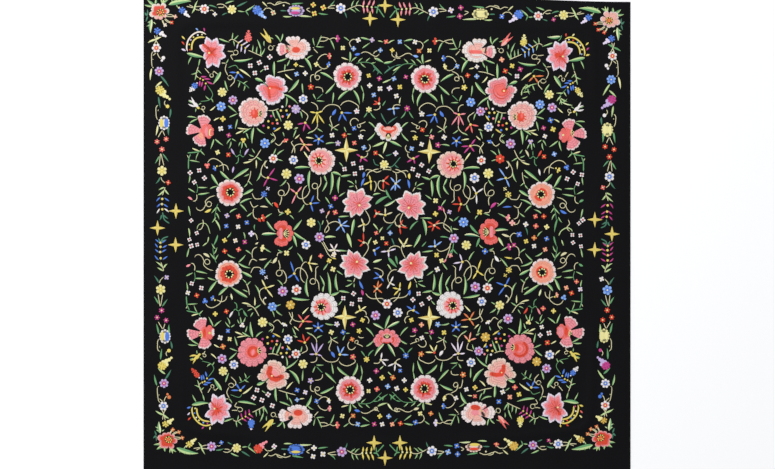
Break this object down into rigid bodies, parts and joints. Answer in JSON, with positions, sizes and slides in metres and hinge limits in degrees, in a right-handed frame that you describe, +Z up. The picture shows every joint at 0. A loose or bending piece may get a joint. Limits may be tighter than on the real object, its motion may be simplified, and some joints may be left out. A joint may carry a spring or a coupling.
{
  "type": "embroidered shawl",
  "caption": "Square silk shawl embroidered with flowers, leaves and tendrils, spread out flat.",
  "frame": {"origin": "on the surface that the cloth lies on, under the middle of its box", "axes": "+Z up through the cloth, +Y towards its far edge, +X to its right edge"},
  "size_m": [1.4, 1.4, 0.0045],
  "materials": {
    "black_crepe": "matt silk crepe with a very soft sheen",
    "black_hem": "rolled and slip-stitched silk",
    "pink_rose": "lustrous untwisted silk floss, satin stitch",
    "coral_red": "lustrous untwisted silk floss, satin stitch",
    "peach_pink": "lustrous untwisted silk floss, satin stitch",
    "ivory_pink": "lustrous untwisted silk floss, satin stitch",
    "pale_gold": "lustrous untwisted silk floss, satin stitch",
    "leaf_green": "lustrous untwisted silk floss, satin stitch",
    "cream_beige": "lustrous untwisted silk floss, satin and stem stitch",
    "blue_lilac": "lustrous untwisted silk floss, satin stitch"
  },
  "bodies": {
    "root": {"corner_flower_far_left": "coral_red", "corner_flower_far_right": "ivory_pink", "corner_flower_near_left": "coral_red", "corner_flower_near_right": "coral_red", "field_star_far_left": "pale_gold", "field_star_far_right": "pale_gold", "field_star_near_left": "pale_gold", "field_star_near_right": "pale_gold", "half_rose_far": "ivory_pink", "half_rose_near": "coral_red", "hem_far": "black_hem", "hem_left": "black_hem", "hem_near": "black_hem", "hem_right": "black_hem", "iris_far_left": "coral_red", "iris_far_right": "coral_red", "iris_near_left": "coral_red", "iris_near_right": "coral_red", "lily_inner_far_left": "pink_rose", "lily_inner_far_right": "pink_rose", "lily_inner_near_left": "pink_rose", "lily_inner_near_right": "pink_rose", "lily_outer_far_left": "pink_rose", "lily_outer_far_right": "pink_rose", "lily_outer_near_left": "pink_rose", "lily_outer_near_right": "pink_rose", "panel": "black_crepe", "peony_edge_far_left": "ivory_pink", "peony_edge_far_right": "ivory_pink", "peony_edge_near_left": "peach_pink", "peony_edge_near_right": "peach_pink", "peony_far_far_left": "pink_rose", "peony_far_far_right": "pink_rose", "peony_far_near_left": "pink_rose", "peony_far_near_right": "pink_rose", "peony_mid_far_left": "ivory_pink", "peony_mid_far_right": "peach_pink", "peony_mid_near_left": "ivory_pink", "peony_mid_near_right": "ivory_pink", "peony_side_far_left": "peach_pink", "peony_side_far_right": "peach_pink", "peony_side_near_left": "coral_red", "peony_side_near_right": "peach_pink", "poppy_left": "coral_red", "poppy_right": "coral_red", "rose_heart_far_left": "pink_rose", "rose_heart_far_right": "pink_rose", "rose_heart_near_left": "peach_pink", "rose_heart_near_right": "ivory_pink", "rose_round_far_left": "ivory_pink", "rose_round_far_right": "ivory_pink", "rose_round_near_left": "coral_red", "rose_round_near_right": "coral_red"}
  },
  "joints": []
}
